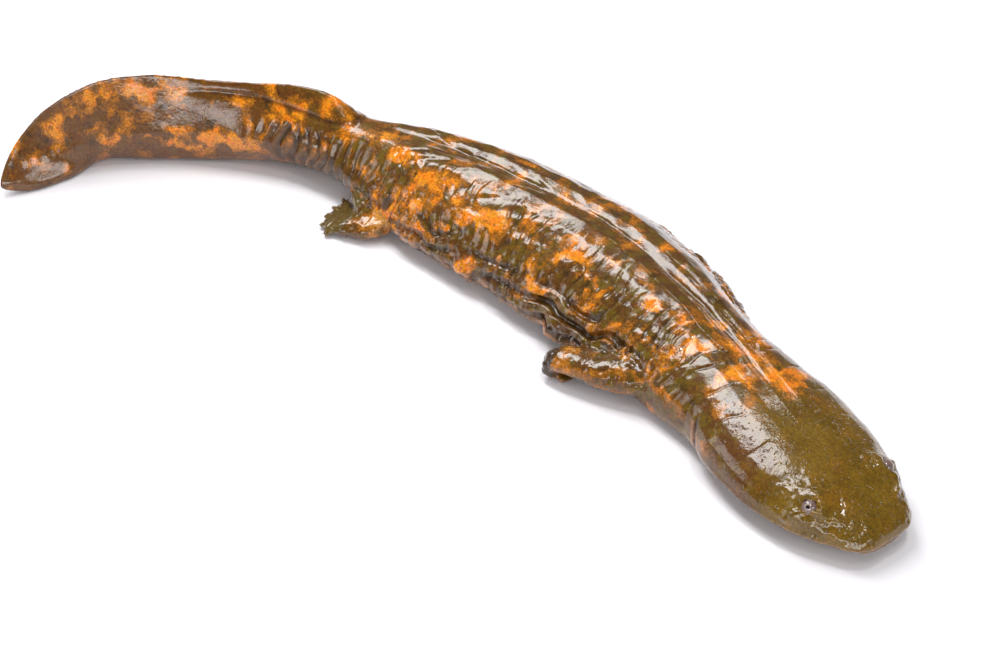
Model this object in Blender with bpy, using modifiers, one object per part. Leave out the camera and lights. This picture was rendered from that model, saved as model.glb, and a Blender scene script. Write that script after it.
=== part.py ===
# Hellbender, Cryptobranchus alleganiensis: a giant aquatic salamander lying on a level floor.
# Metres, +Z up, the floor at z = 0. The head points to +X and the tail bends round behind.
# The body is lofted along one spine; the limbs are lofted tubes that stop at the body's skin.

import math

import bmesh
import bpy
import numpy as np
from mathutils import Vector

MM = 0.001
TOTAL_LENGTH = 459.0 * MM      # snout to tail tip, along the spine
PART_GAP = 0.3 * MM            # clear slit between neighbouring pieces
LIMB_CLEARANCE = 0.45 * MM     # from a limb's root to the body's skin
SNOUT_START = 1.5 * MM         # the blunt snout's face, behind the start of the spine
SNOUT_ROUNDING = 4.2 * MM      # length over which the blunt snout closes
TIP_ROUNDING = 14.0 * MM       # length over which the tail tip closes

RING_POINTS = 32               # points round each body section
EYE_RADIUS = 2.9 * MM
EYE_SETBACK = 22.5 * MM        # snout to eye, along the spine
EYE_SPREAD = 17.2 * MM         # midline to eye
EYE_HEIGHT = 15.6 * MM
EYE_MOUND = 2.9                # how far the head rises round each eye, mm
EYE_MOUND_WIDTH = 5.6          # how wide that rise is, mm
EYE_MOUND_SPREAD = 16.5        # midline to the top of the rise, mm
SOCKET_CLEARANCE = 0.3 * MM
MOUTH_HEIGHT = 6.2 * MM        # the closed mouth's line
JAW_LENGTH = 60 * MM           # lower jaw, chin to hinge

# Direction the body faces along its length: distance behind the snout (mm), heading (degrees)
HEADINGS = (
    (0, -17), (22, -21), (45, -27.5), (75, -31.5), (105, -29), (145, -22), (180, -12), (220, -6),
    (285, 1), (315, 10), (345, 22), (375, 31), (395, 41), (420, 56), (445, 74), (459, 85.8),
)

# Body sections: distance behind the snout, half width, top, side margin height, underside,
# fullness of the upper half and of the lower half (2 is an ellipse, more is squarer)
SECTIONS = (
    # mm    half   top   side  under  upper lower
    (0,      9.9,  11.0,  7.5,  4.0,  2.6,  2.0),
    (10,    16.8,  15.0,  8.0,  2.2,  2.4,  1.9),
    (25,    24.2,  19.0,  8.5,  0.0,  2.3,  2.0),
    (45,    28.5,  22.5,  8.5, -1.5,  2.3,  2.1),
    (62,    29.0,  24.5,  8.5, -1.5,  2.2,  2.3),
    (80,    26.5,  26.0,  7.5, -2.0,  2.2,  2.6),
    (98,    26.5,  27.5,  7.0, -2.0,  2.1,  3.0),
    (118,   27.2,  29.5,  8.0, -2.0,  2.0,  3.0),
    (145,   30.4,  32.0,  9.5, -2.0,  2.0,  3.0),
    (180,   32.4,  34.0, 10.0, -2.0,  2.0,  3.0),
    (225,   31.4,  34.0, 10.0, -2.0,  2.0,  3.0),
    (255,   28.1,  33.0, 11.0, -2.0,  1.9,  3.0),
    (278,   22.5,  32.0, 13.0, -1.5,  1.7,  2.4),
    (290,   18.5,  30.8, 14.0, -1.3,  1.5,  2.0),
    (297,   17.0,  30.6, 14.6, -1.2,  1.45, 1.8),
    (304,   15.4,  35.8, 15.2, -1.2,  1.35, 1.6),
    (312,   14.2,  39.2, 15.5, -1.0,  1.3,  1.5),
    (325,   12.5,  39.8, 16.0, -1.0,  1.2,  1.4),
    (345,   11.0,  37.8, 16.5, -0.8,  1.15, 1.5),
    (362,   10.0,  37.4, 16.5, -0.8,  1.1,  1.6),
    (380,    8.8,  39.4, 16.0, -0.7,  1.05, 1.6),
    (400,    7.5,  40.0, 15.0, -0.6,  1.0,  1.6),
    (430,    5.5,  32.5, 11.5, -0.5,  1.0,  1.6),
    (448,    4.0,  20.0,  8.0, -0.4,  1.2,  1.6),
    (459,    2.6,  10.0,  4.5, -0.3,  1.5,  1.6),
)

# Mid-back groove with a muscle ridge each side: distance behind the snout, groove, ridges (mm)
BACK_RELIEF = (
    (0, 0.0, 0.0), (45, 0.2, 0.2), (80, 0.8, 0.6), (120, 1.6, 1.2), (240, 1.6, 1.4),
    (290, 0.8, 0.8), (315, 0.0, 0.0), (459, 0.0, 0.0),
)
RIDGE_OFFSET = 9.0 * MM
GROOVE_WIDTH = 2.6 * MM
RIDGE_WIDTH = 5.0 * MM

# The body's weight lies a little to its right: distance behind the snout, shift of the flanks (mm)
LEAN = (
    (0, 0.0), (62, -0.3), (80, 1.0), (98, 4.6), (118, 5.5), (150, 3.6), (230, 2.6), (280, 1.2),
    (310, 0.0), (459, 0.0),
)

# The lower fin is wavy and lies outward on the floor: distance behind the snout, flare to the right (mm)
FLARE = (
    (0, 0.0), (285, 0.0), (300, -1.0), (315, -2.0), (334, -2.0), (352, 0.0), (370, 1.8), (388, 2.0),
    (400, 0.5), (408, -1.8), (415, -0.5), (421, 4.0), (430, 7.5), (440, 8.0), (450, 6.0), (459, 2.0),
)
FLARE_HEIGHT = 7.0             # height over which the flare fades, mm

# Loose frill of skin low on the flank: distance behind the snout, overhang (mm)
FRILL = (
    (0, 0.0), (95, 0.0), (125, 1.8), (150, 4.4), (170, 5.4), (192, 3.0), (235, 2.6), (275, 1.2),
    (300, 0.0), (459, 0.0),
)
FRILL_WAVES = ((19.0, 0.30, 0.0), (31.0, 0.35, 1.3))   # wave length (mm), share, phase

# Named lengths of the body: node, front and rear end behind the snout (mm), sections
LENGTHS = (
    ("head", 0, 80, 25),
    ("neck", 80, 112, 6),
    ("trunk_front", 112, 165, 10),
    ("trunk_middle", 165, 218, 10),
    ("trunk_rear", 218, 275, 11),
    ("tail_root", 275, 330, 11),
    ("tail_middle", 330, 392, 13),
    ("tail_tip", 392, 459, 18),
)


def smooth_table(table, column):
    """A monotone cubic curve through one column of a table whose first column is the distance."""
    xs = np.array([row[0] for row in table], float)
    ys = np.array([row[column] for row in table], float)
    step = np.diff(xs)
    slope = np.diff(ys) / step
    tangent = np.zeros(len(xs))
    tangent[0] = slope[0]
    tangent[-1] = slope[-1]
    for i in range(1, len(xs) - 1):
        if slope[i - 1] * slope[i] > 0:
            a = 2 * step[i] + step[i - 1]
            b = step[i] + 2 * step[i - 1]
            tangent[i] = (a + b) / (a / slope[i - 1] + b / slope[i])

    def curve(x):
        x = min(max(x, xs[0]), xs[-1])
        i = min(int(np.searchsorted(xs, x, side="right")) - 1, len(xs) - 2)
        t = (x - xs[i]) / step[i]
        rise = ys[i] * (1 + 2 * t) * (1 - t) ** 2 + ys[i + 1] * t * t * (3 - 2 * t)
        lean = tangent[i] * t * (1 - t) ** 2 - tangent[i + 1] * t * t * (1 - t)
        return float(rise + step[i] * lean)

    return curve


heading_at = smooth_table(HEADINGS, 1)
half_width_at = smooth_table(SECTIONS, 1)
top_at = smooth_table(SECTIONS, 2)
side_at = smooth_table(SECTIONS, 3)
under_at = smooth_table(SECTIONS, 4)
upper_at = smooth_table(SECTIONS, 5)
lower_at = smooth_table(SECTIONS, 6)
groove_at = smooth_table(BACK_RELIEF, 1)
ridge_at = smooth_table(BACK_RELIEF, 2)
frill_at = smooth_table(FRILL, 1)
lean_at = smooth_table(LEAN, 1)
flare_at = smooth_table(FLARE, 1)


def trace_spine():
    """Points on the floor under the spine, one for each millimetre behind the snout."""
    points = [Vector((0.0, 0.0))]
    for i in range(int(round(TOTAL_LENGTH / MM))):
        angle = math.radians(heading_at(i + 0.5))
        points.append(points[-1] - Vector((math.cos(angle), math.sin(angle))) * MM)
    return points


SPINE = trace_spine()


def spine_frame(mm):
    """The spine's point, and the direction to the body's left, at a distance behind the snout."""
    i = min(int(mm), len(SPINE) - 2)
    point = SPINE[i].lerp(SPINE[i + 1], mm - i)
    angle = math.radians(heading_at(mm))
    return point, Vector((-math.sin(angle), math.cos(angle)))


def closing(mm):
    """How far a section has opened: 0 at the snout and the tail tip, 1 away from them."""
    total = TOTAL_LENGTH / MM
    nose = min(max(mm - SNOUT_START / MM, 0.0) / (SNOUT_ROUNDING / MM), 1.0)
    tip = min((total - mm) / (TIP_ROUNDING / MM), 1.0)
    return max((1 - (1 - nose) ** 3.2) ** (1 / 3.2), 0.02) * max((1 - (1 - tip) ** 2.0) ** 0.5, 0.02)


def body_point(mm, turn):
    """A point of the body's surface; turn runs from 0 on the back, past the left side, to 1."""
    angle = 2 * math.pi * turn
    side = math.sin(angle)
    lift = math.cos(angle)
    open_by = closing(mm)
    upper = lift > 0
    power = 2 / (upper_at(mm) if upper else lower_at(mm))
    half_width = half_width_at(mm) - math.copysign(lean_at(mm), side)
    across = math.copysign(abs(side) ** power, side) * half_width * open_by
    middle = side_at(mm)
    reach = (top_at(mm) - middle) if upper else (middle - under_at(mm))
    height = middle + math.copysign(abs(lift) ** power, lift) * reach * open_by
    if upper:
        height -= groove_at(mm) * math.exp(-(across / (GROOVE_WIDTH / MM)) ** 2)
        height += ridge_at(mm) * math.exp(-((abs(across) - RIDGE_OFFSET / MM) / (RIDGE_WIDTH / MM)) ** 2)
        away = (mm - EYE_SETBACK / MM) ** 2 + (abs(across) - EYE_MOUND_SPREAD) ** 2
        height += EYE_MOUND * math.exp(-away / EYE_MOUND_WIDTH ** 2)
    wave = 1 + sum(share * math.sin(2 * math.pi * mm / length + phase + (side > 0) * 2.0)
                   for length, share, phase in FRILL_WAVES)
    across += math.copysign(frill_at(mm) * wave * math.exp(-(lift / 0.30) ** 2), side)
    height = max(height, 0.0)
    across -= flare_at(mm) * math.exp(-(height / FLARE_HEIGHT) ** 2)
    point, left = spine_frame(mm)
    place = point + left * across * MM
    return Vector((place.x, place.y, height * MM))


def section_places(front, rear, count):
    """Distances of the sections of one length, closer together where the body closes."""
    places = [front + (rear - front) * i / (count - 1) for i in range(count)]
    if front == 0:
        front = SNOUT_START / MM + 0.12
        places = [front + (rear - front) * (i / (count - 1)) ** 1.7 for i in range(count)]
    else:
        places[0] += PART_GAP / MM / 2
    if rear * MM >= TOTAL_LENGTH:
        span = rear - front
        places = [rear - span * (1 - i / (count - 1)) ** 1.5 for i in range(count)]
        places[0] = front + PART_GAP / MM / 2
        places[-1] = rear - 0.1
    else:
        places[-1] -= PART_GAP / MM / 2
    return places


def roll_tube(name, surface, rows, columns):
    """A closed tube: a flat grid is rolled onto a surface, welded along its seam and capped."""
    bm = bmesh.new()
    bmesh.ops.create_grid(bm, x_segments=rows - 1, y_segments=columns, size=0.5)
    for vert in bm.verts:
        row = int(round((vert.co.x + 0.5) * (rows - 1)))
        turn = vert.co.y + 0.5
        vert.co = surface(row, turn % 1.0)
    bmesh.ops.remove_doubles(bm, verts=bm.verts, dist=1e-7)
    edges = [edge for edge in bm.edges if edge.is_boundary]
    bmesh.ops.holes_fill(bm, edges=edges, sides=0)
    bmesh.ops.recalc_face_normals(bm, faces=bm.faces)
    mesh = bpy.data.meshes.new(name)
    bm.to_mesh(mesh)
    bm.free()
    return bpy.data.objects.new(name, mesh)


def body_length(name, front, rear, count):
    """One named length of the body."""
    places = section_places(front, rear, count)
    return roll_tube(name, lambda row, turn: body_point(places[row], turn), count, RING_POINTS)


# Limbs, placed on the body: distance behind the snout, distance to the right of the midline,
# height, half width across the limb and half its thickness, all in mm.
# Each chain runs from inside the body to the palm or sole; its toes spread from there.
FRONT_RIGHT = {
    "names": ("upper_arm_right", "forearm_right", "hand_right"),
    "chain": (
        (106, 20, 11, 9.0, 7.0), (114, 29, 10, 9.5, 7.0), (123, 36, 9, 9.0, 6.0), (131, 41, 9, 8.0, 5.0),
        (138, 45, 9, 6.5, 4.0), (143, 48, 7, 5.0, 3.4), (143, 48, 4, 5.0, 2.6), (139, 46, 2, 4.5, 2.2),
    ),
    "cuts": ((127, 38), (140.8, 46.6)),
    "palm": (141, 46, 2.2),
    "toes": ((134, 47, 1.2), (134, 43, 1.2), (137, 40, 1.2), (142, 40, 1.2)),
}
FRONT_LEFT = {
    "names": ("upper_arm_left", "forearm_left", "hand_left"),
    "chain": (
        (108, -10, 10, 8.0, 6.5), (116, -17, 8, 7.0, 5.5), (126, -23, 6.5, 6.5, 4.6),
        (137, -28, 5.2, 6.0, 4.0), (150, -33, 4.5, 5.0, 3.4), (158, -35, 3.2, 5.0, 2.6),
        (164, -36, 2.3, 6.0, 2.1),
    ),
    "cuts": ((133, -26.5), (154, -34)),
    "palm": (163, -36, 2.4),
    "toes": ((169, -44, 1.2), (174, -42, 1.2), (177, -38, 1.2), (176, -33, 1.2)),
}
REAR_RIGHT = {
    "names": ("hind_leg_right", "hind_foot_right"),
    "chain": (
        (284, 6, 13, 7.0, 6.5), (281, 14, 11, 9.0, 7.0), (275, 21, 8, 9.0, 6.2),
        (268, 26, 6, 7.0, 5.2), (270, 31, 5, 5.5, 4.4), (277, 31, 4, 8.5, 3.8),
        (283, 29.5, 3.0, 11.0, 2.9), (288, 28, 2.2, 11.0, 2.2),
    ),
    "cuts": ((278, 30),),
    "palm": (281, 29, 3.0),
    "toes": ((295, 16, 1.5), (296.5, 23, 1.5), (296.5, 30, 1.5), (294, 37, 1.5), (287.5, 42, 1.5)),
}
REAR_LEFT = {
    "names": ("hind_leg_left", "hind_foot_left"),
    "chain": (
        (280, -6, 13, 7.0, 6.5), (275, -14, 11, 8.0, 6.5), (267, -22, 8, 7.5, 6.0), (261, -28, 6, 6.5, 5.0),
        (265, -32, 5, 5.5, 3.8), (273, -33, 4, 6.0, 3.0), (281, -33, 2.6, 8.0, 2.4),
        (287, -33, 2.2, 8.5, 1.8),
    ),
    "cuts": ((274.5, -33),),
    "palm": (283, -33, 2.6),
    "toes": ((297, -25, 1.1), (300, -30, 1.1), (299, -36, 1.1), (294, -41, 1.1), (284, -42, 1.1)),
}
LIMBS = (FRONT_RIGHT, FRONT_LEFT, REAR_RIGHT, REAR_LEFT)
TOE_THICKNESS = 1.25           # half thickness of a toe, mm
CUT_SIZE = (PART_GAP, 26 * MM, 30 * MM)   # the slab that parts a limb at a joint
LIMB_VOXEL = 0.7 * MM          # fineness at which a limb's tubes are merged
LIMB_FACES = 495               # faces kept on a whole limb

SKIN_COLOURS = {
    "head": (0.115, 0.072, 0.008),
    "lower_jaw": (0.36, 0.27, 0.19),
    "neck": (0.30, 0.13, 0.012),
    "trunk_front": (0.20, 0.10, 0.012),
    "trunk_middle": (0.17, 0.09, 0.012),
    "trunk_rear": (0.20, 0.10, 0.012),
    "tail_root": (0.14, 0.08, 0.012),
    "tail_middle": (0.20, 0.09, 0.012),
    "tail_tip": (0.17, 0.09, 0.012),
}
LIMB_COLOUR = (0.18, 0.10, 0.03)
EYE_COLOUR = (0.17, 0.12, 0.11)


def on_body(mm, right, height):
    """A place beside the body, from its distance behind the snout, to the right and up."""
    point, left = spine_frame(mm)
    place = point - left * right * MM
    return Vector((place.x, place.y, height * MM))


def curve_through(values, t):
    """A smooth value through evenly spaced ones (Catmull-Rom), t from 0 to 1."""
    last = len(values) - 1
    position = min(max(t, 0.0), 1.0) * last
    i = min(int(position), last - 1)
    f = position - i
    p0 = values[max(i - 1, 0)]
    p1 = values[i]
    p2 = values[i + 1]
    p3 = values[min(i + 2, last)]
    return 0.5 * ((2 * p1) + (p2 - p0) * f + (2 * p0 - 5 * p1 + 4 * p2 - p3) * f * f
                  + (3 * p1 - p0 - 3 * p2 + p3) * f ** 3)


def limb_tube(name, centres, widths, thicknesses, rows=28, columns=14):
    """A rounded tube through a chain of centres, with its own width and thickness at each."""
    def surface(row, turn):
        t = 0.5 - 0.5 * math.cos(math.pi * row / (rows - 1))
        centre = curve_through(centres, t)
        ahead = curve_through(centres, min(t + 0.02, 1.0)) - curve_through(centres, max(t - 0.02, 0.0))
        across = ahead.cross(Vector((0, 0, 1))).normalized()
        raised = across.cross(ahead).normalized()
        end = min(t, 1 - t)
        shut = max(min(1.0, (1 - (1 - min(end / 0.10, 1.0)) ** 2) ** 0.5), 0.05)
        angle = 2 * math.pi * turn
        return (centre + across * math.cos(angle) * curve_through(widths, t) * shut * MM
                + raised * math.sin(angle) * curve_through(thicknesses, t) * shut * MM)

    return roll_tube(name, surface, rows, columns)


def toe_tube(name, palm, tip):
    """One stubby toe from the palm to its rounded tip on the floor."""
    root = on_body(*palm)
    end = on_body(*tip)
    centres = [root.lerp(end, k / 3) for k in range(4)]
    widths = [2.6, 2.3, 2.0, 1.8]
    thicknesses = [2.0, 1.7, 1.4, TOE_THICKNESS]
    return limb_tube(name, centres, widths, thicknesses, rows=12, columns=10)


def join(objects, name):
    """One mesh object holding all of the given ones."""
    bm = bmesh.new()
    for obj in objects:
        bm.from_mesh(obj.data)
        bpy.data.objects.remove(obj)
    mesh = bpy.data.meshes.new(name)
    bm.to_mesh(mesh)
    bm.free()
    return bpy.data.objects.new(name, mesh)


def bake(obj):
    """Replace an object's mesh by what its modifiers make of it, as triangles."""
    bpy.context.view_layer.update()
    evaluated = obj.evaluated_get(bpy.context.evaluated_depsgraph_get())
    mesh = bpy.data.meshes.new_from_object(evaluated)
    obj.modifiers.clear()
    obj.data = mesh
    tidy_mesh(mesh)
    return obj


def tidy_mesh(mesh):
    """Weld stray points and split every face into triangles."""
    bm = bmesh.new()
    bm.from_mesh(mesh)
    bmesh.ops.remove_doubles(bm, verts=bm.verts, dist=1e-5)
    bmesh.ops.dissolve_degenerate(bm, edges=bm.edges, dist=1e-6)
    bmesh.ops.triangulate(bm, faces=bm.faces)
    bm.to_mesh(mesh)
    bm.free()


def cut(obj, cutter, operation="DIFFERENCE"):
    """Cut an object by another, for good."""
    modifier = obj.modifiers.new("Cut", "BOOLEAN")
    modifier.operation = operation
    modifier.solver = "EXACT"
    modifier.object = cutter
    return bake(obj)


def loose_pieces(obj):
    """The separate bodies of a mesh, largest first, as new mesh objects."""
    bm = bmesh.new()
    bm.from_mesh(obj.data)
    left = set(bm.verts)
    groups = []
    while left:
        group = set()
        edge = [left.pop()]
        while edge:
            vert = edge.pop()
            group.add(vert)
            for link in vert.link_edges:
                other = link.other_vert(vert)
                if other in left:
                    left.discard(other)
                    edge.append(other)
        groups.append({vert.index for vert in group})
    bm.free()
    pieces = []
    for group in groups:
        bm = bmesh.new()
        bm.from_mesh(obj.data)
        bm.verts.ensure_lookup_table()
        away = [vert for vert in bm.verts if vert.index not in group]
        bmesh.ops.delete(bm, geom=away, context="VERTS")
        mesh = bpy.data.meshes.new(obj.name)
        volume = bm.calc_volume()
        bm.to_mesh(mesh)
        bm.free()
        pieces.append((volume, mesh))
    pieces.sort(key=lambda item: -item[0])
    return [mesh for volume, mesh in pieces if volume > 5 * MM ** 3]


def mesh_centre(mesh):
    """The mean of a mesh's points."""
    return sum((vert.co for vert in mesh.vertices), Vector()) / len(mesh.vertices)


def add_box(name, centre, size, turn, cutters):
    """A box cutter, turned about the vertical."""
    bpy.ops.mesh.primitive_cube_add(size=1.0, location=centre, rotation=(0, 0, turn))
    box = bpy.context.active_object
    box.name = name
    box.scale = size
    bpy.ops.object.transform_apply(location=False, rotation=False, scale=True)
    as_cutter(box, cutters)
    return box


def as_cutter(obj, cutters):
    """File an object with the cutters, out of the model."""
    for collection in list(obj.users_collection):
        collection.objects.unlink(obj)
    cutters.objects.link(obj)
    obj.hide_render = True
    obj.display_type = "WIRE"


def whole_limb(plan, cutters):
    """The limb's tubes merged into one soft shape, standing on the floor."""
    rows = plan["chain"]
    centres = [on_body(row[0], row[1], row[2]) for row in rows]
    widths = [row[3] for row in rows]
    thicknesses = [row[4] for row in rows]
    name = plan["names"][0] + "_whole"
    tubes = [limb_tube(name, centres, widths, thicknesses)]
    for i, tip in enumerate(plan["toes"]):
        tubes.append(toe_tube("toe_%d" % i, plan["palm"], tip))
    limb = join(tubes, name)
    cutters.objects.link(limb)
    merge = limb.modifiers.new("Merge", "REMESH")
    merge.mode = "VOXEL"
    merge.voxel_size = LIMB_VOXEL
    soften = limb.modifiers.new("Soften", "SMOOTH")
    soften.iterations = 4
    bake(limb)
    faces = len(limb.data.polygons)
    coarse = limb.modifiers.new("Coarse", "DECIMATE")
    coarse.ratio = min(1.0, LIMB_FACES / faces)
    bake(limb)
    as_cutter(limb, cutters)
    return limb


def cut_limb(plan, skin_cutter, floor, cutters, model):
    """A limb trimmed by the body and the floor, and parted at its two joints."""
    limb = whole_limb(plan, cutters)
    cut(limb, skin_cutter)
    cut(limb, floor)
    limb.data = loose_pieces(limb)[0]
    rows = plan["chain"]
    for i, (mm, right) in enumerate(plan["cuts"]):
        here = on_body(mm, right, 6)
        before = min(range(len(rows)), key=lambda k: (on_body(rows[k][0], rows[k][1], 6) - here).length)
        low = on_body(*rows[max(before - 1, 0)][:3])
        high = on_body(*rows[min(before + 1, len(rows) - 1)][:3])
        turn = math.atan2(high.y - low.y, high.x - low.x)
        slab = add_box("%s_cut_%d" % (plan["names"][i], i), here, CUT_SIZE, turn, cutters)
        cut(limb, slab)
    pieces = loose_pieces(limb)[:len(plan["names"])]
    order = (rows[1], rows[4], rows[-1]) if len(plan["names"]) == 3 else (rows[3], rows[-1])
    for name, row in zip(plan["names"], order):
        target = on_body(*row[:3])
        mesh = min(pieces, key=lambda m: (mesh_centre(m) - target).length)
        pieces.remove(mesh)
        mesh.name = name
        model.objects.link(bpy.data.objects.new(name, mesh))
    bpy.data.objects.remove(limb)


def grown_body(cutters):
    """The whole body's skin, pushed out by the limbs' clearance."""
    places = [30 + 5.0 * i for i in range(75)]
    skin = roll_tube("skin_cutter", lambda row, turn: body_point(places[row], turn),
                     len(places), RING_POINTS)
    bm = bmesh.new()
    bm.from_mesh(skin.data)
    bm.normal_update()
    for vert in bm.verts:
        vert.co += vert.normal * LIMB_CLEARANCE
        if vert.co.z < 0.4 * MM:
            vert.co.z -= 2 * MM
    bmesh.ops.triangulate(bm, faces=bm.faces)
    bm.to_mesh(skin.data)
    bm.free()
    cutters.objects.link(skin)
    as_cutter(skin, cutters)
    return skin


def add_eye(name, side, head, cutters, model):
    """An eyeball, and its socket in the head."""
    centre = on_body(EYE_SETBACK / MM, side * EYE_SPREAD / MM, EYE_HEIGHT / MM)
    bpy.ops.mesh.primitive_uv_sphere_add(segments=12, ring_count=8, radius=EYE_RADIUS, location=centre)
    eye = bpy.context.active_object
    eye.name = name
    for collection in list(eye.users_collection):
        collection.objects.unlink(eye)
    model.objects.link(eye)
    bpy.ops.mesh.primitive_uv_sphere_add(segments=12, ring_count=8,
                                         radius=EYE_RADIUS + SOCKET_CLEARANCE, location=centre)
    socket = bpy.context.active_object
    socket.name = name + "_socket"
    as_cutter(socket, cutters)
    cut(head, socket)


def part_jaw(head, cutters, model):
    """Part the lower jaw from the head along the closed mouth and behind its hinge."""
    point, left = spine_frame(JAW_LENGTH / MM)
    ahead = Vector((left.y, -left.x, 0.0))
    turn = math.atan2(ahead.y, ahead.x)
    reach = 90 * MM
    depth = 20 * MM
    middle = Vector((point.x, point.y, 0)) + ahead * reach / 2
    block = Vector((0, 0, MOUTH_HEIGHT - depth / 2))
    gap = PART_GAP
    around = add_box("jaw_space", middle + block, Vector((reach, reach, depth)), turn, cutters)
    inside = add_box("jaw_block", middle + block + ahead * gap - Vector((0, 0, gap)),
                     Vector((reach, reach, depth)), turn, cutters)
    jaw = bpy.data.objects.new("lower_jaw", head.data.copy())
    model.objects.link(jaw)
    cut(jaw, inside, "INTERSECT")
    cut(head, around)


def paint(obj, colour, roughness):
    """Give a part its own Principled material."""
    material = bpy.data.materials.new(obj.name + "_skin")
    material.use_nodes = True
    shader = material.node_tree.nodes["Principled BSDF"]
    shader.inputs["Base Color"].default_value = (*colour, 1.0)
    shader.inputs["Roughness"].default_value = roughness
    shader.inputs["Metallic"].default_value = 0.0
    obj.data.materials.clear()
    obj.data.materials.append(material)


def centre_on_floor(model, cutters):
    """Move everything so that the model's box is centred over the origin."""
    bpy.context.view_layer.update()
    corners = [obj.matrix_world @ vert.co for obj in model.objects for vert in obj.data.vertices]
    shift = Vector((
        -(min(p.x for p in corners) + max(p.x for p in corners)) / 2,
        -(min(p.y for p in corners) + max(p.y for p in corners)) / 2,
        -min(p.z for p in corners),
    ))
    for obj in list(model.objects) + list(cutters.objects):
        obj.location += shift
    print("shift", [round(v / MM, 3) for v in shift])


def main():
    for obj in list(bpy.data.objects):
        bpy.data.objects.remove(obj)
    model = bpy.data.collections.new("Hellbender")
    cutters = bpy.data.collections.new("Cutters")
    bpy.context.scene.collection.children.link(model)
    bpy.context.scene.collection.children.link(cutters)
    for name, front, rear, count in LENGTHS:
        length = body_length(name, front, rear, count)
        model.objects.link(length)
        tidy_mesh(length.data)
    head = model.objects["head"]
    part_jaw(head, cutters, model)
    add_eye("eye_right", 1, head, cutters, model)
    add_eye("eye_left", -1, head, cutters, model)
    skin = grown_body(cutters)
    floor = add_box("floor", Vector((-0.2, 0, -0.05)), (0.9, 0.9, 0.1), 0.0, cutters)
    for plan in LIMBS:
        cut_limb(plan, skin, floor, cutters, model)
    for obj in model.objects:
        eye = obj.name.startswith("eye")
        colour = EYE_COLOUR if eye else SKIN_COLOURS.get(obj.name, LIMB_COLOUR)
        paint(obj, colour, 0.08 if eye else 0.22)
        obj.data.shade_smooth()
        obj.data.set_sharp_from_angle(angle=math.radians(50))
    centre_on_floor(model, cutters)


main()
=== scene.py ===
import math

import bmesh
import bpy
import numpy as np
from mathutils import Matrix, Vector
from mathutils.kdtree import KDTree


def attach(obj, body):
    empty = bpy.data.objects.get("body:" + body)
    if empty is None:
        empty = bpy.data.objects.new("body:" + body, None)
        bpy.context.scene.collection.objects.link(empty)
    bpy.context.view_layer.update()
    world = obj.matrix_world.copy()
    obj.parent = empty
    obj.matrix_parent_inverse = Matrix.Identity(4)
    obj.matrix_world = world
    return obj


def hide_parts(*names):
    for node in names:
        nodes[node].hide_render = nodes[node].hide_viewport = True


MM = 0.001
FLESH = (
    "head", "lower_jaw", "neck", "trunk_front", "trunk_middle", "trunk_rear",
    "tail_root", "tail_middle", "tail_tip",
    "upper_arm_right", "forearm_right", "hand_right", "upper_arm_left", "forearm_left", "hand_left",
    "hind_leg_right", "hind_foot_right", "hind_leg_left", "hind_foot_left",
)
SWELL = 0.35 * MM           # how far the lengths are swollen to close the slits between them
WEB_SWELL = 1.25 * MM       # the same for the hind feet, whose toes are joined by thick skin
VOXEL = 0.62 * MM           # fineness of the merged skin
WELD = 1e-5                 # points of a solid closer than this are one, m
SMOOTHING = (0.55, -0.57)   # one step in and one step out, so that nothing shrinks
TAIL_ROUNDS = 60            # rounds of such smoothing on the tail
SKIN_TRIANGLES = 192000

# The line under the back: where the snout is, its length, and the way the body faces
# at each distance behind the snout (mm, degrees)
SNOUT = (199.6, -55.4)
LENGTH = 459
HEADINGS = (
    (0, -17), (22, -21), (45, -27.5), (75, -31.5), (105, -29), (145, -22), (180, -12), (220, -6),
    (285, 1), (315, 10), (345, 22), (375, 31), (395, 41), (420, 56), (445, 74), (459, 85.8),
)

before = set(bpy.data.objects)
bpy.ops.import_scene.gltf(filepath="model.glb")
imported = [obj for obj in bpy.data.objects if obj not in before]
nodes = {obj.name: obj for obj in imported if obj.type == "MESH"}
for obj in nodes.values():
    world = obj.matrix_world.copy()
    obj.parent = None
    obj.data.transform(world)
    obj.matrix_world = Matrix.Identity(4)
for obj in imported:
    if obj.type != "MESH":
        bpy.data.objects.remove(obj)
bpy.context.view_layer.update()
scene = bpy.context.scene


# ---------------------------------------------------------------- helpers

def link(obj):
    scene.collection.objects.link(obj)
    return obj


def only(obj):
    """Select one object alone."""
    bpy.ops.object.select_all(action="DESELECT")
    obj.select_set(True)
    bpy.context.view_layer.objects.active = obj


def apply_modifier(obj, kind, **settings):
    """Add a modifier, set it and apply it."""
    only(obj)
    modifier = obj.modifiers.new(kind, kind)
    for key, value in settings.items():
        setattr(modifier, key, value)
    bpy.ops.object.modifier_apply(modifier=modifier.name)


def coordinates(mesh):
    points = np.empty(len(mesh.vertices) * 3)
    mesh.vertices.foreach_get("co", points)
    return points.reshape(-1, 3)


def normals(mesh):
    values = np.empty(len(mesh.vertices) * 3)
    mesh.vertices.foreach_get("normal", values)
    return values.reshape(-1, 3)


def set_coordinates(mesh, points):
    mesh.vertices.foreach_set("co", points.ravel())
    mesh.update()


def store(mesh, name, values):
    """Keep a number for each point of the mesh, for the materials to read."""
    attribute = mesh.attributes.get(name) or mesh.attributes.new(name, "FLOAT", "POINT")
    attribute.data.foreach_set("value", np.asarray(values, np.float32))


def bell(x, centre, width):
    """One at the centre, falling away smoothly on both sides."""
    return np.exp(-(((x - centre) / width) ** 2))


def ramp(x, low, high):
    """From nothing at low to one at high, smoothly."""
    t = np.clip((x - low) / (high - low), 0, 1)
    return t * t * (3 - 2 * t)


def window(x, start, full, fade, end):
    """One between full and fade, falling to nothing at start and end."""
    return ramp(x, start, full) * (1 - ramp(x, fade, end))


def wave(position, spacing):
    """Rolls one spacing apart, as numbers from -1 to 1."""
    return np.sin(2 * np.pi * position / spacing)


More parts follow.
